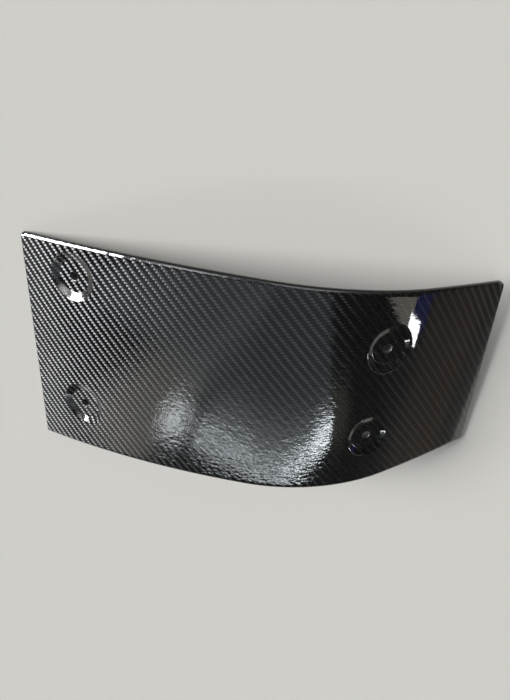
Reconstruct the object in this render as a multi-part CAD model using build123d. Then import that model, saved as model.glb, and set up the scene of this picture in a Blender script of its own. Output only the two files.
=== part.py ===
from build123d import *
import os
from math import atan2, cos, sin, tan

os.makedirs("parts", exist_ok=True)

# Curved carbon-fibre wing panel, lying convex side up like a low arch.
# Row frame: +X along the chord, +Y across the panel, +Z up, z = 0 where the end edges rest.
# All lengths are in millimetres.

# Arch profile: three tangent arcs along the outer surface, from the -X end to the +X end
LEAD_LENGTH, LEAD_RADIUS = 195.0, 1000.0
CROWN_LENGTH, CROWN_RADIUS = 120.0, 178.0
TAIL_LENGTH, TAIL_RADIUS = 95.0, 1400.0
ARCS = [(LEAD_LENGTH, LEAD_RADIUS), (CROWN_LENGTH, CROWN_RADIUS), (TAIL_LENGTH, TAIL_RADIUS)]
PANEL_LENGTH = LEAD_LENGTH + CROWN_LENGTH + TAIL_LENGTH

# Plan outline: one straight long edge at +Y, one gently curved tapering long edge at -Y
HALF_WIDTH = 94.0
TAPER_MID_Y = -83.9
TAPER_END_Y = -64.7
SLANT_SETBACK = 17.0
CORNER_RADIUS_LEAD = 4.0
CORNER_RADIUS_TAIL = 6.0
CORNER_RADIUS_TAPER = 2.0

# Laminate, outside to inside
SKIN_THICKNESS = 0.8
CORE_THICKNESS = 1.4
PANEL_THICKNESS = 2 * SKIN_THICKNESS + CORE_THICKNESS

# Dished fixing points: a flat sunken floor inside a conical wall
DISH_DEPTH = 2.4
DISH_FLOOR_RADIUS = 13.0
DISH_RIM_RADIUS = 19.4
FLOOR_FILLET = 3.0
RIM_FILLET = 6.0

# Bolt holes (M6 clearance) and the solid disc bonded into the core under each dish floor
HOLE_RADIUS = 3.3
HOLE_CHAMFER = 0.5
HARDPOINT_RADIUS = 11.5
PAIR_CENTRE_Y = 10.3
LEAD_PAIR_S, LEAD_PAIR_SPACING = 45.5, 115.0
TAIL_PAIR_S, TAIL_PAIR_SPACING = 289.5, 78.0

# Construction allowances, all trimmed away
OVERRUN = 8.0
CUTTER_TOP = 8.0
BELOW = 30.0
ABOVE = 90.0


def walk(s):
    """Point and turning angle after distance s along the arcs, starting at (0, 0) heading +X."""
    x, z, turn, left = 0.0, 0.0, 0.0, s
    for number, (length, radius) in enumerate(ARCS):
        step = left if number == len(ARCS) - 1 else min(left, length)
        new_turn = turn + step / radius
        x += radius * (sin(new_turn) - sin(turn))
        z += radius * (cos(new_turn) - cos(turn))
        turn = new_turn
        left -= step
    return x, z, turn


END_X, END_Z, TOTAL_TURN = walk(PANEL_LENGTH)
START_SLOPE = atan2(-END_Z, END_X)
HALF_CHORD = (END_X * cos(START_SLOPE) - END_Z * sin(START_SLOPE)) / 2
END_SLOPE = TOTAL_TURN - START_SLOPE
LIFT = PANEL_THICKNESS / cos(END_SLOPE)


def station(s, depth=0.0):
    """Row-frame x, z and slope on the surface that lies `depth` below the outer one at distance s."""
    x, z, turn = walk(s)
    slope = START_SLOPE - turn
    row_x = x * cos(START_SLOPE) - z * sin(START_SLOPE) - HALF_CHORD + depth * sin(slope)
    row_z = x * sin(START_SLOPE) + z * cos(START_SLOPE) + LIFT - depth * cos(slope)
    return row_x, row_z, slope


def at(s, depth):
    x, z, slope = station(s, depth)
    return Vector(x, 0, z)


def dish_plane(s, y):
    """Plane on the outer surface at a dish centre: local Z is the outward normal."""
    x, z, slope = station(s)
    return Plane(origin=(x, y, z), x_dir=(cos(slope), 0, sin(slope)), z_dir=(-sin(slope), 0, cos(slope)))


DISHES = {}
for end, s, spacing in [("lead", LEAD_PAIR_S, LEAD_PAIR_SPACING), ("tail", TAIL_PAIR_S, TAIL_PAIR_SPACING)]:
    DISHES[f"{end}_left"] = dish_plane(s, PAIR_CENTRE_Y + spacing / 2)
    DISHES[f"{end}_right"] = dish_plane(s, PAIR_CENTRE_Y - spacing / 2)


def dish_cutter(depth):
    """Solid that sinks a dish into the surface `depth` below the outer one."""
    wall = atan2(DISH_DEPTH, DISH_RIM_RADIUS - DISH_FLOOR_RADIUS)
    floor = -DISH_DEPTH - depth
    floor_radius = DISH_FLOOR_RADIUS + depth * tan(wall / 2)
    top_radius = floor_radius + (CUTTER_TOP - floor) / tan(wall)
    profile = Polyline((0, floor), (floor_radius, floor), (top_radius, CUTTER_TOP), (0, CUTTER_TOP), close=True)
    face = make_face(profile)
    corner = face.vertices().sort_by_distance((floor_radius, floor, 0))[0]
    face = fillet(corner, FLOOR_FILLET + depth)
    return revolve(Plane.XZ * face, Axis.Z)


def under(depth):
    """Everything below the surface that lies `depth` under the outer one, dishes sunk in."""
    bounds = [-OVERRUN, LEAD_LENGTH, LEAD_LENGTH + CROWN_LENGTH, PANEL_LENGTH + OVERRUN]
    edges = [ThreePointArc(at(a, depth), at((a + b) / 2, depth), at(b, depth)) for a, b in zip(bounds, bounds[1:])]
    start, end = at(bounds[0], depth), at(bounds[-1], depth)
    edges += Polyline(end, (end.X, 0, -BELOW), (start.X, 0, -BELOW), start).edges()
    body = extrude(make_face(edges), HALF_WIDTH + OVERRUN, dir=(0, 1, 0), both=True)
    cutter = dish_cutter(depth)
    for plane in DISHES.values():
        body -= plane.location * cutter
    rims = body.edges().filter_by(GeomType.BSPLINE)
    return fillet(rims, RIM_FILLET - depth)


def outline_prism():
    """Vertical block whose plan is the trimmed outline of the panel."""
    lead_outer, tail_outer = (-HALF_CHORD, HALF_WIDTH), (HALF_CHORD - SLANT_SETBACK, HALF_WIDTH)
    tail_taper, lead_taper = (HALF_CHORD, TAPER_END_Y), (-HALF_CHORD, -HALF_WIDTH)
    sides = Polyline(lead_taper, lead_outer, tail_outer, tail_taper)
    taper = ThreePointArc(tail_taper, (0, TAPER_MID_Y), lead_taper)
    plan = make_face(sides.edges() + taper.edges())
    for point, radius in [
        (lead_outer, CORNER_RADIUS_LEAD),
        (tail_outer, CORNER_RADIUS_TAIL),
        (tail_taper, CORNER_RADIUS_TAPER),
        (lead_taper, CORNER_RADIUS_TAPER),
    ]:
        corner = plan.vertices().sort_by_distance((*point, 0))[0]
        plan = fillet(corner, radius)
    return Pos(0, 0, -BELOW) * extrude(plan, BELOW + ABOVE)


def drill(solid, radius, chamfered=False):
    """Drill every dish on its own axis, with a small chamfer on the outside when asked."""
    hole = Cylinder(radius, 4 * PANEL_THICKNESS, align=(Align.CENTER, Align.CENTER, Align.MAX))
    mouth = Cone(radius, radius + 2 * HOLE_CHAMFER, 2 * HOLE_CHAMFER)
    for plane in DISHES.values():
        solid -= plane.location * Pos(0, 0, PANEL_THICKNESS - DISH_DEPTH) * hole
        if chamfered:
            solid -= plane.location * Pos(0, 0, -DISH_DEPTH) * mouth
    return solid


skin_depths = (0, SKIN_THICKNESS, SKIN_THICKNESS + CORE_THICKNESS, PANEL_THICKNESS)
solids_under = [under(depth) for depth in skin_depths]
prism = outline_prism()
outer, middle, inner = [(a - b) & prism for a, b in zip(solids_under, solids_under[1:])]

parts = {
    "outer_skin": drill(outer, HOLE_RADIUS, chamfered=True),
    "inner_skin": drill(inner, HOLE_RADIUS),
    "core": drill(middle, HARDPOINT_RADIUS),
}
for name, plane in DISHES.items():
    disc = Cylinder(HARDPOINT_RADIUS, CORE_THICKNESS, align=(Align.CENTER, Align.CENTER, Align.MAX))
    disc -= Cylinder(HOLE_RADIUS, 4 * CORE_THICKNESS)
    parts[f"hardpoint_{name}"] = plane.location * Pos(0, 0, -DISH_DEPTH - SKIN_THICKNESS) * disc

for node, solid in parts.items():
    export_step(solid, f"parts/{node}.step")
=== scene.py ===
import math

import bpy
import numpy as np
from mathutils import Matrix, Vector


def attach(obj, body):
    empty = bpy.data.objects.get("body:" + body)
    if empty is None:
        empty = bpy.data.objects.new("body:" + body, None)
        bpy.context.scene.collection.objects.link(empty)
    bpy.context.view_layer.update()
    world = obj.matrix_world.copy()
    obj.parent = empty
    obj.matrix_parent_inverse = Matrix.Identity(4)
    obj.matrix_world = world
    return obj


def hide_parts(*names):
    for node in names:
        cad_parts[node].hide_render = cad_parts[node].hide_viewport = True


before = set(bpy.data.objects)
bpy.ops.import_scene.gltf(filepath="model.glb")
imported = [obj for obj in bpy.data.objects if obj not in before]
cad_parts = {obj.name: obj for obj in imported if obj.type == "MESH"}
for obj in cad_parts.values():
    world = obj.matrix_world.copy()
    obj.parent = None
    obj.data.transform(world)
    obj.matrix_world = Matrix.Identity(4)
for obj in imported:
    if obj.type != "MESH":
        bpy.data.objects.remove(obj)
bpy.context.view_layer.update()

# Lengths are in millimetres in the same frame as the CAD; MM turns them into Blender metres.
MM = 0.001

# ---------------------------------------------------------------- shape, as in the CAD
ARCS = [(195.0, 1000.0), (120.0, 178.0), (95.0, 1400.0)]
PANEL_LENGTH = sum(length for length, radius in ARCS)
HALF_WIDTH = 94.0
TAPER_MID_Y = -83.9
TAPER_END_Y = -64.7
SLANT_SETBACK = 17.0
SKIN = 0.8
CORE = 1.4
PANEL_THICKNESS = 2 * SKIN + CORE
DISH_DEPTH, DISH_FLOOR, DISH_RIM = 2.4, 13.0, 19.4
FLOOR_FILLET, RIM_FILLET = 3.0, 6.0
HARDPOINT_RADIUS = 11.5
HOLE_RADIUS = 3.3
HOLE_BREAK = 0.5
PAIR_CENTRE_Y = 10.3
LEAD_S, LEAD_SPACING = 45.5, 115.0
TAIL_S, TAIL_SPACING = 289.5, 78.0
WALL = math.atan2(DISH_DEPTH, DISH_RIM - DISH_FLOOR)  # slope of the dish walls
DISH_MARGIN = 12.0  # how far outside its rim a dish may still touch the surface
SOLVE_STEPS, PLAN_STEPS = 6, 4  # rounds of the two iterations below
TINY = 1e-9

# how the cloth lies: tow rate along the arch, its gather towards the lead end, and its shear
DRAPE_RATE = 0.944
DRAPE_GATHER, DRAPE_REACH = 16.2, 70.0
DRAPE_SHEAR = 0.0926


def walk(s):
    """Point and turning angle after distance s along the arcs, for an array of distances."""
    left = np.array(s, float)
    x, z, turn = np.zeros_like(left), np.zeros_like(left), np.zeros_like(left)
    for number, (length, radius) in enumerate(ARCS):
        step = left if number == len(ARCS) - 1 else np.minimum(left, length)
        new_turn = turn + step / radius
        x = x + radius * (np.sin(new_turn) - np.sin(turn))
        z = z + radius * (np.cos(new_turn) - np.cos(turn))
        turn = new_turn
        left = left - step
    return x, z, turn


END_X, END_Z, TOTAL_TURN = (float(v) for v in walk(PANEL_LENGTH))
START_SLOPE = math.atan2(-END_Z, END_X)
HALF_CHORD = (END_X * math.cos(START_SLOPE) - END_Z * math.sin(START_SLOPE)) / 2
END_SLOPE = TOTAL_TURN - START_SLOPE
LIFT = PANEL_THICKNESS / math.cos(END_SLOPE)


def station(s, depth):
    """x, z and slope on the surface that lies `depth` below the outer one at distance s."""
    x, z, turn = walk(s)
    slope = START_SLOPE - turn
    cs, sn = math.cos(START_SLOPE), math.sin(START_SLOPE)
    row_x = x * cs - z * sn - HALF_CHORD + depth * np.sin(slope)
    row_z = x * sn + z * cs + LIFT - depth * np.cos(slope)
    return row_x, row_z, slope


def s_at_x(x, depth, start):
    """Distance along the arcs at which the surface reaches x."""
    s = np.array(start, float)
    for _ in range(SOLVE_STEPS):
        px, _, slope = station(s, depth)
        s = s + (x - px) / np.cos(slope)
    return s


def taper_y(x):
    """The -Y long edge: the arc through its two ends and its middle."""
    (ax, ay), (bx, by), (cx, cy) = (-HALF_CHORD, -HALF_WIDTH), (0.0, TAPER_MID_Y), (HALF_CHORD, TAPER_END_Y)
    d = 2 * (ax * (by - cy) + bx * (cy - ay) + cx * (ay - by))
    a2, b2, c2 = ax * ax + ay * ay, bx * bx + by * by, cx * cx + cy * cy
    ox = (a2 * (by - cy) + b2 * (cy - ay) + c2 * (ay - by)) / d
    oy = (a2 * (cx - bx) + b2 * (ax - cx) + c2 * (bx - ax)) / d
    radius = math.hypot(ax - ox, ay - oy)
    side = -1.0 if oy > ay else 1.0
    return oy + side * np.sqrt(radius * radius - (x - ox) ** 2)


def slant_x(y):
    """The +X edge, which leans back towards +Y."""
    return HALF_CHORD - SLANT_SETBACK * (y - TAPER_END_Y) / (HALF_WIDTH - TAPER_END_Y)


DISHES = {
    "lead_left": (LEAD_S, PAIR_CENTRE_Y + LEAD_SPACING / 2),
    "lead_right": (LEAD_S, PAIR_CENTRE_Y - LEAD_SPACING / 2),
    "tail_left": (TAIL_S, PAIR_CENTRE_Y + TAIL_SPACING / 2),
    "tail_right": (TAIL_S, PAIR_CENTRE_Y - TAIL_SPACING / 2),
}


def dish_axes(s, y):
    """Centre, along-chord axis and outward normal of a dish."""
    x, z, slope = (float(v) for v in station(s, 0.0))
    cs, sn = math.cos(slope), math.sin(slope)
    return np.array([x, y, z]), np.array([cs, 0, sn]), np.array([-sn, 0, cs])


def bowl(r, depth):
    """Height of the dish at radius r, from the plain outer surface, for the surface `depth` below it."""
    floor = -DISH_DEPTH - depth
    bend = FLOOR_FILLET + depth
    corner = DISH_FLOOR + depth * math.tan(WALL / 2)
    start = corner - bend * math.tan(WALL / 2)
    end = start + bend * math.sin(WALL)
    arc = floor + bend - np.sqrt(np.maximum(bend * bend - (r - start) ** 2, TINY))
    cone = floor + (r - corner) * math.tan(WALL)
    return np.where(r < start, floor, np.where(r < end, arc, cone))


def sink(points, depth):
    """Presses the four dishes into points that lie on the plain surface."""
    out = points.copy()
    blend = (RIM_FILLET - depth) * math.tan(WALL) ** 2 / 2
    for s, y in DISHES.values():
        centre, along, normal = dish_axes(s, y)
        rel = out - centre
        a, b, c = rel @ along, rel[:, 1], rel @ normal
        r = np.hypot(a, b)
        near = r < DISH_RIM + DISH_MARGIN
        wall = bowl(r, depth)
        low = np.minimum(c, wall) - np.maximum(blend - np.abs(c - wall), 0) ** 2 / (4 * blend)
        out += np.where(near, low - c, 0.0)[:, None] * normal
    return out


def drape(s, y):
    """Weave coordinates in mm.

    The cloth is sheared a little across the panel, and its tows close up towards the lead end.
    """
    return DRAPE_RATE * s + DRAPE_GATHER * (1 - np.exp(-s / DRAPE_REACH)) - DRAPE_SHEAR * y, y


# ---------------------------------------------------------------- one grid for every layer
# The grid has logical coordinates S = 0..PANEL_LENGTH and Y = -HALF_WIDTH..HALF_WIDTH, which plan() warps
# to the trimmed outline. A square patch round each dish is left out and filled with rings round its hole.
PATCH = 22.0  # half the side of that square

# beyond these lines the grid is stretched to meet the outline
LEAD_FIX = 20.0
TAIL_FIX = 315.0
SIDE_FIX = PAIR_CENTRE_Y - TAIL_SPACING / 2 - PATCH

# rounding of the trimmed edges, and the resin on the +Y one
END_ROUND = 0.8
SIDE_ROUND_WIDTH, SIDE_ROUND_HEIGHT = 3.6, 2.0
LUMP, LUMP_REACH = 0.12, 140.0
LUMP_BAND, LUMP_RISE = 6.0, 4.0
LUMP_WAVES = [(1.0, 0.83, 0.0), (0.8, 1.37, 1.1), (0.6, 0.41, 2.3)]  # height, radians per mm, phase
LUMP_FAR = 0.35  # what is left of them at the tail end

# line spacing: in from an edge, beside the dishes, elsewhere, and inwards to a hole
EDGE_STEPS = [0.0, 0.05, 0.18, 0.37, 0.6, 0.9, 1.3, 1.8, 2.4, 3.1, 4.0, 5.2, 6.8]
TAIL_STEP_SCALE = 1.25
LINE_STEP = 1.85
ROW_STEP = 2.6
RING_FADES = [0.72, 0.45, 0.2]
RING_RADII = [
    3.3, 4.2, 5.4, 6.8, 8.2, 9.6, 10.9, 11.8, 12.5, 12.9, 13.2, 13.5,
    14.1, 14.9, 15.7, 16.5, 17.2, 17.8, 18.4, 19.0, 19.6, 20.3, 21.0,
]
MIN_GAP = 0.3  # lines closer than this are left out
CORNERS = [  # logical corner, radius in mm
    ((0.0, HALF_WIDTH), 4.0),
    ((PANEL_LENGTH, HALF_WIDTH), 6.0),
    ((PANEL_LENGTH, -HALF_WIDTH), 2.0),
    ((0.0, -HALF_WIDTH), 2.0),
]


def plan(S, Y, depth):
    """(s, y) on the layer for logical (S, Y), its corners not yet rounded."""
    y = np.array(Y, float)
    s = np.array(S, float)
    for _ in range(PLAN_STEPS):
        lo = s_at_x(np.full_like(s, -HALF_CHORD), depth, np.zeros_like(s))
        hi = s_at_x(slant_x(y), depth, np.full_like(s, PANEL_LENGTH))
        s = np.where(S < LEAD_FIX, lo + S * (LEAD_FIX - lo) / LEAD_FIX, S)
        s = np.where(S > TAIL_FIX, TAIL_FIX + (S - TAIL_FIX) * (hi - TAIL_FIX) / (PANEL_LENGTH - TAIL_FIX), s)
        x = station(s, depth)[0]
        edge = taper_y(x)
        pulled = SIDE_FIX + (Y - SIDE_FIX) * (edge - SIDE_FIX) / (-HALF_WIDTH - SIDE_FIX)
        y = np.where(Y < SIDE_FIX, pulled, Y)
    return s, y


def scales(S, Y):
    """Millimetres of plan per logical unit, along S and along Y, near the edges."""
    y = np.clip(Y, TAPER_END_Y, HALF_WIDTH)
    hi = s_at_x(slant_x(y), 0.0, np.full_like(np.array(y, float), PANEL_LENGTH))
    at_tail = (hi - TAIL_FIX) / (PANEL_LENGTH - TAIL_FIX) * math.cos(END_SLOPE)
    sx = np.where(S > PANEL_LENGTH / 2, at_tail, math.cos(START_SLOPE))
    x = np.clip(station(np.clip(S, 0, PANEL_LENGTH), 0.0)[0], -HALF_CHORD, HALF_CHORD)
    sy = np.where(Y > 0, 1.0, (taper_y(x) - SIDE_FIX) / (-HALF_WIDTH - SIDE_FIX))
    return sx, sy


def quarter(inset, width, height):
    """Drop of an elliptical edge round at that distance in from the edge."""
    part = np.clip(1 - inset / width, 0, 1)
    return height * (1 - np.sqrt(1 - part * part))


def edge_drop(S, Y, depth):
    """How far the trimmed edges are rounded over: widely on the long sides, slightly at the ends."""
    sx, sy = scales(S, Y)
    ends = quarter(np.minimum(S, PANEL_LENGTH - S) * sx, END_ROUND, END_ROUND)
    sides = quarter((HALF_WIDTH - np.abs(Y)) * sy, SIDE_ROUND_WIDTH, SIDE_ROUND_HEIGHT)
    return np.maximum(ends, sides) * (1 - depth / PANEL_THICKNESS)


def resin_lumps(s, y, depth):
    """Uneven resin along the rounded +Y edge, strongest at the lead end."""
    near = np.clip((y - (HALF_WIDTH - LUMP_BAND)) / LUMP_RISE, 0, 1)
    wave = sum(height * np.sin(s * rate + phase) for height, rate, phase in LUMP_WAVES)
    fade = LUMP_FAR + (1 - LUMP_FAR) * np.clip(1 - s / LUMP_REACH, 0, 1)
    return LUMP * near * wave * fade * (1 - depth / PANEL_THICKNESS)


def round_corners(S, Y):
    """Moves logical points near the four corners on to quarter rounds."""
    S, Y = S.copy(), Y.copy()
    for (cS, cY), radius in CORNERS:
        sx, sy = (float(v) for v in scales(np.array(cS), np.array(cY)))
        rS, rY = radius / sx, radius / sy
        inS, inY = (1 if cS == 0 else -1), (1 if cY < 0 else -1)
        a = (cS + inS * rS - S) * inS / rS
        b = (cY + inY * rY - Y) * inY / rY
        inside = (a > 0) & (b > 0)
        size = np.hypot(a, b)
        shrink = np.where(inside, np.maximum(a, b) / np.maximum(size, TINY), 1.0)
        S = np.where(inside, cS + inS * rS - inS * rS * a * shrink, S)
        Y = np.where(inside, cY + inY * rY - inY * rY * b * shrink, Y)
    return S, Y


def spaced(stops, step):
    """Lines through every stop, evenly spaced between them."""
    lines = []
    for a, b in zip(stops, stops[1:]):
        count = max(1, round((b - a) / step))
        lines += list(np.linspace(a, b, count, endpoint=False))
    return lines


lead_band = (LEAD_S - PATCH, LEAD_S + PATCH)
tail_band = (TAIL_S - PATCH, TAIL_S + PATCH)
S_LINES = EDGE_STEPS[:-1] + spaced([EDGE_STEPS[-1], lead_band[0]], ROW_STEP) + spaced(lead_band, LINE_STEP)
S_LINES += spaced([lead_band[1], tail_band[0]], ROW_STEP) + spaced(tail_band, LINE_STEP)
tail_edge = [PANEL_LENGTH - TAIL_STEP_SCALE * e for e in reversed(EDGE_STEPS)]
S_LINES += spaced([tail_band[1], tail_edge[0]], ROW_STEP) + tail_edge
side_stops = sorted({y + side * PATCH for s, y in DISHES.values() for side in (1, -1)})
Y_LINES = [-HALF_WIDTH + e for e in EDGE_STEPS[:-1]]
Y_LINES += spaced([-HALF_WIDTH + EDGE_STEPS[-1]] + side_stops, LINE_STEP) + [side_stops[-1]]
Y_LINES += [HALF_WIDTH - e for e in reversed(EDGE_STEPS) if HALF_WIDTH - e > side_stops[-1] + MIN_GAP]
S_LINES, Y_LINES = np.array(S_LINES), np.array(Y_LINES)


def line_index(lines, value):
    return int(np.argmin(np.abs(lines - value)))


def layer(depth, rings):
    """One surface of a layer: points, (s, y, edge drop), faces, the outline loop and each hole's loop."""
    nS, nY = len(S_LINES), len(Y_LINES)
    gS, gY = (g.ravel() for g in np.meshgrid(S_LINES, Y_LINES, indexing="ij"))
    rS, rY = round_corners(gS, gY)
    s, y = plan(rS, rY, depth)
    x, z, _ = station(s, depth)
    points = np.stack([x, y, z], 1)
    drop = edge_drop(gS, gY, depth)
    points[:, 2] += resin_lumps(s, y, depth) - drop
    coords = np.stack([s, y, drop], 1)
    keep_face = np.ones((nS - 1, nY - 1), bool)
    hole_loops, more_points, more_coords, ring_faces = [], [], [], []
    count = len(points)
    for dish_s, dish_y in DISHES.values():
        i0, i1 = line_index(S_LINES, dish_s - PATCH), line_index(S_LINES, dish_s + PATCH)
        j0, j1 = line_index(Y_LINES, dish_y - PATCH), line_index(Y_LINES, dish_y + PATCH)
        keep_face[i0:i1, j0:j1] = False
        border = [(i, j0) for i in range(i0, i1)] + [(i1, j) for j in range(j0, j1)]
        border += [(i, j1) for i in range(i1, i0, -1)] + [(i0, j) for j in range(j1, j0, -1)]
        border = np.array([i * nY + j for i, j in border])
        centre, along, normal = dish_axes(dish_s, dish_y)
        rel = points[border] - centre
        a, b = rel @ along, rel[:, 1]
        size = np.hypot(a, b)
        previous = border
        # from the square border inwards, then round the hole
        radii = [rings[-1] + (size - rings[-1]) * fade for fade in RING_FADES] + rings[::-1]
        for radius in radii:
            ra, rb = a / size * radius, b / size * radius
            ring_s = np.full_like(ra, dish_s)
            for _ in range(SOLVE_STEPS):
                px, pz, slope = station(ring_s, depth)
                reach = (px - centre[0]) * along[0] + (pz - centre[2]) * along[2]
                ring_s = ring_s + (ra - reach) / np.cos(slope - math.atan2(along[2], along[0]))
            px, pz, _ = station(ring_s, depth)
            more_points.append(np.stack([px, rb + dish_y, pz], 1))
            more_coords.append(np.stack([ring_s, rb + dish_y, np.zeros_like(rb)], 1))
            ring = np.arange(count, count + len(border))
            count += len(border)
            for k in range(len(border)):
                n = (k + 1) % len(border)
                ring_faces.append((previous[k], previous[n], ring[n], ring[k]))
            previous = ring
        hole_loops.append(previous)
    faces = []
    for i in range(nS - 1):
        for j in range(nY - 1):
            if keep_face[i, j]:
                faces.append((i * nY + j, (i + 1) * nY + j, (i + 1) * nY + j + 1, i * nY + j + 1))
    faces += [tuple(int(v) for v in f) for f in ring_faces]
    points = sink(np.concatenate([points] + more_points), depth)
    coords = np.concatenate([coords] + more_coords)
    outline = [i * nY for i in range(nS)] + [(nS - 1) * nY + j for j in range(1, nY)]
    outline += [i * nY + nY - 1 for i in range(nS - 2, -1, -1)] + [j for j in range(nY - 2, 0, -1)]
    return points, coords, faces, outline, hole_loops


FRONT, BACK, CUT = 0, 1, 2  # material slots of a layer
HOLE_BREAK_ANGLES = (30, 60, 90)


def sheet_piece(name, top_depth, thickness, bore, hole_break):
    """A closed layer: top and bottom surfaces, the trimmed edge and the hole walls."""
    top_rings = [bore + hole_break] + [r for r in RING_RADII if r > bore + hole_break + MIN_GAP]
    bottom_rings = [bore] + top_rings[1:]
    tp, tc, tf, t_out, t_holes = layer(top_depth, top_rings)
    bp, bc, bf, b_out, b_holes = layer(top_depth + thickness, bottom_rings)
    n = len(tp)
    points = [tp, bp]
    coords = [tc, bc]
    total = 2 * n
    faces = list(tf) + [tuple(v + n for v in reversed(f)) for f in bf]
    kinds = [FRONT] * len(tf) + [BACK] * len(bf)
    for k in range(len(t_out)):
        a, b = t_out[k], t_out[(k + 1) % len(t_out)]
        c, d = b_out[k] + n, b_out[(k + 1) % len(t_out)] + n
        faces.append((b, a, c, d))
        kinds.append(CUT)
    for (dish_s, dish_y), top_loop, bottom_loop in zip(DISHES.values(), t_holes, b_holes):
        centre, along, normal = dish_axes(dish_s, dish_y)
        previous = top_loop
        for angle in HOLE_BREAK_ANGLES if hole_break else ():
            swing = math.radians(angle)
            pull = hole_break * math.sin(swing)
            fall = hole_break * (1 - math.cos(swing))
            rel = tp[top_loop] - centre
            a, b, c = rel @ along, rel[:, 1], rel @ normal
            size = np.hypot(a, b)
            new = np.outer((a / size) * (size - pull), along) + np.outer(c - fall, normal) + centre
            new[:, 1] = centre[1] + b / size * (size - pull)
            points.append(new)
            coords.append(tc[top_loop])
            ring = np.arange(total, total + len(top_loop))
            total += len(top_loop)
            for k in range(len(ring)):
                m = (k + 1) % len(ring)
                faces.append((int(previous[k]), int(previous[m]), int(ring[m]), int(ring[k])))
                kinds.append(FRONT)
            previous = ring
        below = bottom_loop + n
        for k in range(len(previous)):
            m = (k + 1) % len(previous)
            faces.append((int(previous[k]), int(previous[m]), int(below[m]), int(below[k])))
            kinds.append(CUT)
    points = np.concatenate(points)
    coords = np.concatenate(coords)
    weave = np.stack(drape(coords[:, 0], coords[:, 1]), 1)
    mesh = bpy.data.meshes.new(name)
    mesh.from_pydata((points * MM).tolist(), [], faces)
    mesh.polygons.foreach_set("material_index", kinds)
    uv = mesh.uv_layers.new(name="weave")
    index = np.zeros(len(mesh.loops), int)
    mesh.loops.foreach_get("vertex_index", index)
    uv.data.foreach_set("uv", (weave[index] * MM).astype(np.float32).ravel())
    mesh.attributes.new("edge_drop", "FLOAT", "POINT").data.foreach_set("value", coords[:, 2])
    mesh.polygons.foreach_set("use_smooth", [kind != CUT for kind in kinds])
    mesh.validate()
    mesh.update()
    piece = bpy.data.objects.new(name, mesh)
    bpy.context.scene.collection.objects.link(piece)
    return piece


# ---------------------------------------------------------------- materials
TOW = 1.85 * MM  # width of one tow
WOBBLE_SCALE, WOBBLE, WOBBLE_ACROSS = 55.0, 0.5, -0.8
STREAK_ALONG, STREAK_ACROSS = 250.0, 7000.0
CROWN_POWER, CROWN_FALL = 2.5, 0.7
GAP_COLOUR = (0.003, 0.003, 0.0035)
# painted light and shade: the chordwise (warp) tows are coloured several times brighter than the crosswise
# (weft) tows, though both are the same fibre
WARP_COLOURS_PAINTED_LIGHT = ((0.034, 0.035, 0.036), (0.075, 0.076, 0.078))
WEFT_COLOURS_PAINTED_SHADE = ((0.006, 0.006, 0.0065), (0.016, 0.0165, 0.017))
RELIEF = 0.2 * MM
CLOTH_FADE = (0.02, 0.5)  # edge drop in mm over which the cloth gives way to plain resin
RIPPLE_SCALE = (110.0, 170.0, 1.0)
GRAIN_SCALE, GRAIN_GAIN = (250.0, 400.0, 1.0), 1.6
CALM_START, CALM_END, CALM_LEFT = 0.245, 0.290, 0.15  # metres along the weave, and the peel left beyond


def new_material(name):
    material = bpy.data.materials.new(name)
    material.use_nodes = True
    tree = material.node_tree
    tree.nodes.clear()
    out = tree.nodes.new("ShaderNodeOutputMaterial")
    shader = tree.nodes.new("ShaderNodeBsdfPrincipled")
    tree.links.new(shader.outputs[0], out.inputs[0])
    return material, tree, shader


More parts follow.
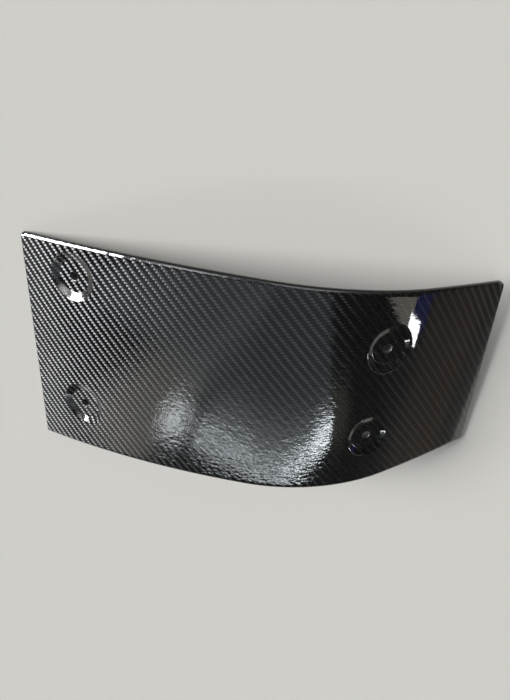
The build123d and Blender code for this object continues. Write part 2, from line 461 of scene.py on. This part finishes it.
class Graph:
    """Short names for building node trees."""

    def __init__(self, tree):
        self.tree = tree

    def math(self, operation, a, b=None, clamp=False):
        node = self.tree.nodes.new("ShaderNodeMath")
        node.operation = operation
        node.use_clamp = clamp
        for socket, value in zip(node.inputs, (a, b)):
            if value is None:
                continue
            if hasattr(value, "default_value"):
                self.tree.links.new(value, socket)
            else:
                socket.default_value = value
        return node.outputs[0]

    def linear(self, value, a, b, lo=0.0, hi=1.0, interpolation="LINEAR"):
        """Value mapped from lo at a to hi at b, and held beyond them."""
        node = self.tree.nodes.new("ShaderNodeMapRange")
        node.interpolation_type = interpolation
        self.tree.links.new(value, node.inputs["Value"])
        for socket, number in (("From Min", a), ("From Max", b), ("To Min", lo), ("To Max", hi)):
            node.inputs[socket].default_value = number
        return node.outputs["Result"]

    def ramp(self, value, a, b, lo=0.0, hi=1.0):
        """The same as a smooth step."""
        return self.linear(value, a, b, lo, hi, "SMOOTHSTEP")

    def mix(self, factor, a, b):
        """Colour a to colour b by factor. Either may be a socket or a plain colour."""
        node = self.tree.nodes.new("ShaderNodeMix")
        node.data_type = "RGBA"
        self.tree.links.new(factor, node.inputs[0])
        for socket, value in ((node.inputs[6], a), (node.inputs[7], b)):
            if isinstance(value, tuple):
                socket.default_value = (*value, 1.0)
            else:
                self.tree.links.new(value, socket)
        return node.outputs[2]

    def choose(self, factor, a, b):
        """Number a where factor is 0, b where it is 1."""
        node = self.tree.nodes.new("ShaderNodeMix")
        for socket, value in zip((node.inputs[0], node.inputs[2], node.inputs[3]), (factor, a, b)):
            self.tree.links.new(value, socket)
        return node.outputs[0]

    def noise(self, vector, scale, detail=2.0, rough=0.5):
        node = self.tree.nodes.new("ShaderNodeTexNoise")
        self.tree.links.new(vector, node.inputs["Vector"])
        node.inputs["Scale"].default_value = scale
        node.inputs["Detail"].default_value = detail
        node.inputs["Roughness"].default_value = rough
        return node.outputs[0]

    def bump(self, height, strength, distance, normal=None):
        node = self.tree.nodes.new("ShaderNodeBump")
        self.tree.links.new(height, node.inputs["Height"])
        node.inputs["Strength"].default_value = strength
        node.inputs["Distance"].default_value = distance
        if normal is not None:
            self.tree.links.new(normal, node.inputs["Normal"])
        return node.outputs[0]

    def stretch(self, vector, scale):
        node = self.tree.nodes.new("ShaderNodeMapping")
        self.tree.links.new(vector, node.inputs["Vector"])
        node.inputs["Scale"].default_value = scale
        return node.outputs[0]


def weave_nodes(g):
    """2x2 twill from the weave coordinates.

    Returns the uv vector, over (1 where the chordwise tow shows), the crown height and the fibre streaks.
    """
    tree = g.tree
    uv = tree.nodes.new("ShaderNodeUVMap")
    uv.uv_map = "weave"
    wobble_source = g.noise(uv.outputs[0], WOBBLE_SCALE, 1.0)
    split = tree.nodes.new("ShaderNodeSeparateXYZ")
    tree.links.new(uv.outputs[0], split.inputs[0])
    wobble = g.math("MULTIPLY", g.math("SUBTRACT", wobble_source, 0.5), WOBBLE)
    u = g.math("ADD", g.math("DIVIDE", split.outputs[0], TOW), wobble)
    v = g.math("ADD", g.math("DIVIDE", split.outputs[1], TOW), g.math("MULTIPLY", wobble, WOBBLE_ACROSS))
    iu, iv = g.math("FLOOR", u), g.math("FLOOR", v)
    fu, fv = g.math("FRACT", u), g.math("FRACT", v)
    phase = g.math("FLOORED_MODULO", g.math("ADD", iu, iv), 4.0)
    over = g.math("LESS_THAN", phase, 1.5)
    # position along the float, 0..1, for the tow that shows
    half = g.math("FLOORED_MODULO", g.math("ADD", iu, iv), 2.0)
    warp_along = g.math("DIVIDE", g.math("ADD", half, fu), 2.0)
    weft_along = g.math("DIVIDE", g.math("ADD", half, fv), 2.0)

    def crown(across, along):
        """1 on the middle of a tow, falling towards its sides and towards where it dives under."""
        side = g.math("ABSOLUTE", g.math("SUBTRACT", g.math("MULTIPLY", across, 2.0), 1.0))
        end = g.math("ABSOLUTE", g.math("SUBTRACT", g.math("MULTIPLY", along, 2.0), 1.0))
        falls = [g.math("MULTIPLY", g.math("POWER", off, CROWN_POWER), CROWN_FALL) for off in (side, end)]
        return g.math("SUBTRACT", 1.0, g.math("ADD", *falls), clamp=True)

    height = g.choose(over, crown(fu, weft_along), crown(fv, warp_along))
    along_u = g.noise(g.stretch(uv.outputs[0], (STREAK_ALONG, STREAK_ACROSS, 1.0)), 1.0, 2.0)
    along_v = g.noise(g.stretch(uv.outputs[0], (STREAK_ACROSS, STREAK_ALONG, 1.0)), 1.0, 2.0)
    return uv.outputs[0], over, height, g.choose(over, along_v, along_u)


def carbon(name, coat, coat_roughness, peel, fibre_roughness, print_through):
    """Twill carbon under resin.

    peel and print_through are heights in mm: of the ripple in the clear coat, and of the weave in it.
    """
    material, tree, shader = new_material(name)
    g = Graph(tree)
    uv, over, height, streak = weave_nodes(g)
    tangent = tree.nodes.new("ShaderNodeTangent")
    tangent.direction_type = "UV_MAP"
    tangent.uv_map = "weave"
    tree.links.new(tangent.outputs[0], shader.inputs["Tangent"])
    quarter_turn = g.math("MULTIPLY", over, 0.25)
    tree.links.new(quarter_turn, shader.inputs["Anisotropic Rotation"])
    shader.inputs["Anisotropic"].default_value = 1.0
    tone = g.noise(uv, 18.0, 3.0)
    # warp tows get the brighter painted-light colour and weft tows the darker painted-shade colour; the
    # streaks within each are the fibre's own
    warp_colour_painted_light = g.mix(streak, *WARP_COLOURS_PAINTED_LIGHT)
    weft_colour_painted_shade = g.mix(streak, *WEFT_COLOURS_PAINTED_SHADE)
    tow_colour = g.mix(over, weft_colour_painted_shade, warp_colour_painted_light)
    drop = tree.nodes.new("ShaderNodeAttribute")
    drop.attribute_name = "edge_drop"
    cloth = g.ramp(drop.outputs["Fac"], *CLOTH_FADE, 1.0, 0.0)
    # painted highlight and shade: each float is coloured brightest on its crown and darker towards its sides
    # and ends, down to the gap colour, which is really darker resin between tows; the random tone also varies
    # it
    lit = g.math("MULTIPLY", g.ramp(height, 0.25, 0.85), g.linear(tone, 0.3, 0.7, 0.8, 1.1))
    colour = g.mix(g.math("MULTIPLY", lit, cloth), GAP_COLOUR, tow_colour)
    tree.links.new(colour, shader.inputs["Base Color"])
    shader.inputs["Metallic"].default_value = 1.0
    rough = g.linear(streak, 0.3, 0.7, fibre_roughness - 0.06, fibre_roughness + 0.08)
    tree.links.new(rough, shader.inputs["Roughness"])
    relief = g.bump(height, 1.0, RELIEF)
    tree.links.new(relief, shader.inputs["Normal"])
    shader.inputs["Coat Weight"].default_value = coat
    shader.inputs["Coat Roughness"].default_value = coat_roughness
    shader.inputs["Coat IOR"].default_value = 1.5
    # orange peel in the clear coat, which flows out smooth towards the tail
    along = tree.nodes.new("ShaderNodeSeparateXYZ")
    tree.links.new(uv, along.inputs[0])
    calm = g.ramp(along.outputs[0], CALM_START, CALM_END, 1.0, CALM_LEFT)
    ripple = g.noise(g.stretch(uv, RIPPLE_SCALE), 1.0, 1.0, 0.4)
    grain = g.noise(g.stretch(uv, GRAIN_SCALE), 1.0, 1.5, 0.5)
    fine = g.bump(g.math("MULTIPLY", g.math("MULTIPLY", height, cloth), calm), 1.0, print_through * MM)
    fine = g.bump(g.math("MULTIPLY", grain, calm), 1.0, GRAIN_GAIN * peel * MM, fine)
    coat_normal = g.bump(g.math("MULTIPLY", ripple, calm), 1.0, peel * MM, fine)
    tree.links.new(coat_normal, shader.inputs["Coat Normal"])
    return material


def cut_edge(name):
    """Sawn and sealed laminate edge: plies seen end-on."""
    material, tree, shader = new_material(name)
    g = Graph(tree)
    place = tree.nodes.new("ShaderNodeTexCoord").outputs["Object"]
    plies = g.noise(g.stretch(place, (300.0, 300.0, 9000.0)), 1.0, 2.0)
    dust = g.noise(place, 700.0, 3.0)
    colour = g.mix(g.ramp(plies, 0.35, 0.65), (0.012, 0.012, 0.013), (0.05, 0.05, 0.052))
    colour = g.mix(g.math("MULTIPLY", dust, 0.25), colour, (0.16, 0.16, 0.165))
    tree.links.new(colour, shader.inputs["Base Color"])
    tree.links.new(g.linear(dust, 0.3, 0.7, 0.35, 0.6), shader.inputs["Roughness"])
    tree.links.new(g.bump(plies, 0.6, 0.05 * MM), shader.inputs["Normal"])
    return material


def core_material(name):
    """Resin-filled fibre mat, seen as the middle band of the cut edges."""
    material, tree, shader = new_material(name)
    g = Graph(tree)
    place = tree.nodes.new("ShaderNodeTexCoord").outputs["Object"]
    fibres = g.noise(g.stretch(place, (900.0, 900.0, 4000.0)), 1.0, 4.0, 0.7)
    pits = g.noise(place, 1500.0, 2.0)
    colour = g.mix(g.ramp(fibres, 0.35, 0.7), (0.010, 0.010, 0.011), (0.045, 0.044, 0.042))
    tree.links.new(colour, shader.inputs["Base Color"])
    tree.links.new(g.linear(pits, 0.3, 0.7, 0.45, 0.75), shader.inputs["Roughness"])
    tree.links.new(g.bump(fibres, 0.7, 0.06 * MM), shader.inputs["Normal"])
    return material


def hardpoint_material(name):
    """Black glass-cloth laminate, dusty where it was cut."""
    material, tree, shader = new_material(name)
    g = Graph(tree)
    place = tree.nodes.new("ShaderNodeTexCoord").outputs["Object"]
    cloth = g.noise(g.stretch(place, (1400.0, 1400.0, 6000.0)), 1.0, 3.0)
    stain = g.noise(place, 260.0, 3.0)
    colour = g.mix(g.ramp(cloth, 0.3, 0.7), (0.016, 0.016, 0.017), (0.05, 0.05, 0.052))
    colour = g.mix(g.math("MULTIPLY", g.ramp(stain, 0.5, 0.75), 0.5), colour, (0.09, 0.088, 0.085))
    tree.links.new(colour, shader.inputs["Base Color"])
    tree.links.new(g.linear(cloth, 0.3, 0.7, 0.4, 0.65), shader.inputs["Roughness"])
    tree.links.new(g.bump(cloth, 0.6, 0.04 * MM), shader.inputs["Normal"])
    return material


TWILL_TOP = carbon(
    "twill_clearcoat", coat=1.0, coat_roughness=0.025, peel=0.055, fibre_roughness=0.42, print_through=0.010
)
TWILL_BACK = carbon(
    "twill_back", coat=0.5, coat_roughness=0.18, peel=0.05, fibre_roughness=0.45, print_through=0.02
)
EDGE = cut_edge("laminate_edge")
CORE_MAT = core_material("core_mat_edge")

outer = sheet_piece("outer_skin_twill", 0.0, SKIN, HOLE_RADIUS, HOLE_BREAK)
middle = sheet_piece("core_mat", SKIN, CORE, HARDPOINT_RADIUS, 0.0)
inner = sheet_piece("inner_skin_twill", SKIN + CORE, SKIN, HOLE_RADIUS, 0.0)
for piece, node, slot, front, back, rim in (
    (outer, "outer_skin", "twill_skin", TWILL_TOP, TWILL_BACK, EDGE),
    (middle, "core", "core_mat", CORE_MAT, CORE_MAT, CORE_MAT),
    (inner, "inner_skin", "back_skin", TWILL_BACK, TWILL_BACK, EDGE),
):
    piece.data.materials.append(front)
    piece.data.materials.append(back)
    piece.data.materials.append(rim)
    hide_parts(node)
    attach(piece, "root")


def paint(node, material):
    """Gives a piece that comes from the CAD its material."""
    mesh_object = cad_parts[node]
    for holder in mesh_object.material_slots:
        holder.material = material
    if not mesh_object.material_slots:
        mesh_object.data.materials.append(material)


hardpoint = hardpoint_material("hardpoint_laminate")
for dish in DISHES:
    paint(f"hardpoint_{dish}", hardpoint)


# ---------------------------------------------------------------- floor
FLOOR_HALF = 4.0  # metres
TABLE_COLOUR = (0.238, 0.234, 0.222)
floor_mesh = bpy.data.meshes.new("floor")
floor_corners = [(FLOOR_HALF * x, FLOOR_HALF * y, 0) for x, y in ((-1, -1), (1, -1), (1, 1), (-1, 1))]
floor_mesh.from_pydata(floor_corners, [], [(0, 1, 2, 3)])
floor_mesh.update()
floor = bpy.data.objects.new("floor", floor_mesh)
bpy.context.scene.collection.objects.link(floor)
floor_material, _, floor_shader = new_material("pale_table")
floor_shader.inputs["Base Color"].default_value = (*TABLE_COLOUR, 1)
floor_shader.inputs["Roughness"].default_value = 0.9
floor_shader.inputs["Specular IOR Level"].default_value = 0.0
floor.data.materials.append(floor_material)

# ---------------------------------------------------------------- camera
CAMERA_AT = Vector((-23.17, 198.31, 355.16)) * MM
CAMERA_RIGHT = Vector((0.99548, 0.09472, -0.00751))
CAMERA_UP = Vector((-0.08705, 0.87742, -0.47175))
camera_data = bpy.data.cameras.new("camera")
camera = bpy.data.objects.new("camera", camera_data)
bpy.context.scene.collection.objects.link(camera)
back_axis = CAMERA_RIGHT.cross(CAMERA_UP).normalized()
up_axis = back_axis.cross(CAMERA_RIGHT).normalized()
turn = Matrix((CAMERA_RIGHT.normalized(), up_axis, back_axis)).transposed()
camera.matrix_world = Matrix.Translation(CAMERA_AT) @ turn.to_4x4()
camera_data.sensor_width = 36.0
camera_data.lens = 24.21
camera_data.clip_start = 0.01
bpy.context.scene.camera = camera

# ---------------------------------------------------------------- light
# The studio is a soft dim room painted into the world by direction. Each soft box lies on a wall one unit
# away and is given as left, right, low and high edges on that wall: p runs along it and q is height. Then
# come its colour, how soft its left, right, low and high edges are, and its tilt.
GRAZING = 0.02  # a direction has to point at least this far towards a wall to be in front of it
HORIZON = (-0.1, 0.06)

scene = bpy.context.scene
scene.view_settings.view_transform = "Standard"
world = bpy.data.worlds.new("studio")
scene.world = world
world.use_nodes = True
wt = world.node_tree
wt.nodes.clear()
wg = Graph(wt)
direction = wt.nodes.new("ShaderNodeTexCoord").outputs["Generated"]
parts = wt.nodes.new("ShaderNodeSeparateXYZ")
wt.links.new(direction, parts.inputs[0])
DX, DY, DZ = parts.outputs


def wall(across, towards, sign):
    """p and q on the wall in that direction, and a mask that is 1 in front of it."""
    ahead = wg.math("MULTIPLY", towards, sign)
    safe = wg.math("MAXIMUM", ahead, GRAZING)
    front = wg.math("GREATER_THAN", ahead, GRAZING)
    return wg.math("DIVIDE", across, safe), wg.math("DIVIDE", DZ, safe), front


WALLS = {
    "-Y": wall(DX, DY, -1.0),
    "+Y": wall(DX, DY, 1.0),
    "-X": wall(DY, DX, -1.0),
    "+X": wall(DY, DX, 1.0),
}


def soft_band(value, low, high, soft_low, soft_high):
    """1 between low and high, fading to 0 across each soft edge."""
    rising = wg.ramp(value, low - soft_low, low + soft_low)
    falling = wg.ramp(value, high - soft_high, high + soft_high, 1.0, 0.0)
    return wg.math("MULTIPLY", rising, falling)


def soft_box(side, left, right, low, high, colour, soft_left, soft_right, soft_low, soft_high, tilt=0.0):
    """Colour inside a soft-edged rectangle on a wall, black outside. tilt is its rise in q per unit of p."""
    p, q, front = WALLS[side]
    if tilt:
        q = wg.math("SUBTRACT", q, wg.math("MULTIPLY", p, tilt))
    wide = soft_band(p, left, right, soft_left, soft_right)
    tall = soft_band(q, low, high, soft_low, soft_high)
    return wg.mix(wg.math("MULTIPLY", wg.math("MULTIPLY", wide, tall), front), (0.0, 0.0, 0.0), colour)


def add(a, b):
    node = wt.nodes.new("ShaderNodeMix")
    node.data_type = "RGBA"
    node.blend_type = "ADD"
    node.inputs[0].default_value = 1.0
    wt.links.new(a, node.inputs[6])
    wt.links.new(b, node.inputs[7])
    return node.outputs[2]


def grey(level, tint=(1.0, 1.0, 1.0)):
    return tuple(level * t for t in tint)


COOL, WARM, SLATE = (0.93, 1.0, 1.04), (1.06, 1.0, 0.88), (0.86, 1.0, 1.06)
BOXES = [
    # ceiling and slate veil over the middle of the panel
    ("-Y", -1.00, 0.70, 1.15, 9.0, grey(0.40, SLATE), 0.12, 0.02, 0.10, 1.0),
    # long window strip, brighter to the right, with its glow above it
    ("-Y", -0.72, 0.70, 1.065, 1.125, grey(9.5, COOL), 0.03, 0.02, 0.02, 0.02, 0.10),
    ("-Y", 0.10, 0.70, 1.03, 1.09, grey(11.0, COOL), 0.30, 0.02, 0.02, 0.02, 0.22),
    ("-Y", -0.72, 0.70, 1.10, 1.25, grey(1.3, COOL), 0.04, 0.02, 0.06, 0.08, 0.10),
    ("-Y", -0.72, 0.70, 1.10, 1.40, grey(0.6, COOL), 0.04, 0.02, 0.08, 0.15, 0.10),
    ("-Y", 0.46, 0.70, 1.13, 1.27, grey(6.0, COOL), 0.05, 0.02, 0.03, 0.03),
    # short end of the same window
    ("-Y", -0.93, -0.78, 0.94, 1.10, grey(9.0, COOL), 0.04, 0.02, 0.05, 0.06),
    # haze either side of the veil
    ("-Y", -1.30, -0.84, 0.62, 1.35, grey(0.9, WARM), 0.12, 0.05, 0.12, 0.20),
    ("-Y", -2.30, -0.90, 1.35, 9.0, grey(0.6, SLATE), 0.30, 0.15, 0.15, 1.0),
    ("-X", -1.30, -0.25, 0.05, 0.42, grey(0.45), 0.10, 0.08, 0.05, 0.08),
    ("-Y", 0.70, 0.95, 1.05, 1.50, grey(0.35, WARM), 0.02, 0.12, 0.15, 0.15),
    # broad window on the -X side
    ("-X", -0.06, 0.50, 0.30, 0.80, grey(76.0), 0.03, 0.03, 0.03, 0.03),
    # its light on the ceiling, which only the cloth picks up
    ("-X", 0.00, 0.70, 1.00, 1.80, grey(6.0), 0.20, 0.20, 0.20, 0.40),
    # dark furniture and a doorway on the +X side
    ("+X", -0.47, -0.36, 0.46, 0.90, grey(1.3, WARM), 0.01, 0.01, 0.01, 0.05),
    ("+X", -0.43, -0.20, 0.26, 0.46, (0.003, 0.02, 0.36), 0.01, 0.02, 0.02, 0.01),
    ("+X", -0.47, -0.413, 0.31, 0.48, grey(22.0), 0.004, 0.004, 0.01, 0.01),
    ("+X", -1.20, 0.60, 0.06, 0.24, (0.085, 0.05, 0.03), 0.10, 0.10, 0.02, 0.02),
    # fill from behind and above the camera
    ("+Y", -2.00, 2.00, 0.20, 3.00, grey(0.45), 0.30, 0.30, 0.20, 0.50),
    ("+Y", -0.80, 0.80, 1.30, 5.00, grey(2.5), 0.20, 0.20, 0.20, 1.00),
]
BELOW_HORIZON, ROOM = grey(0.30), grey(0.045, WARM)
BACKDROP = grey(0.62)  # what the camera itself sees behind the floor

light_sum = wg.mix(wg.ramp(DZ, *HORIZON), BELOW_HORIZON, ROOM)
for box in BOXES:
    light_sum = add(light_sum, soft_box(*box))
seen = wt.nodes.new("ShaderNodeLightPath").outputs["Is Camera Ray"]
backdrop = wg.mix(seen, light_sum, BACKDROP)
background = wt.nodes.new("ShaderNodeBackground")
wt.links.new(backdrop, background.inputs[0])
world_out = wt.nodes.new("ShaderNodeOutputWorld")
wt.links.new(background.outputs[0], world_out.inputs[0])
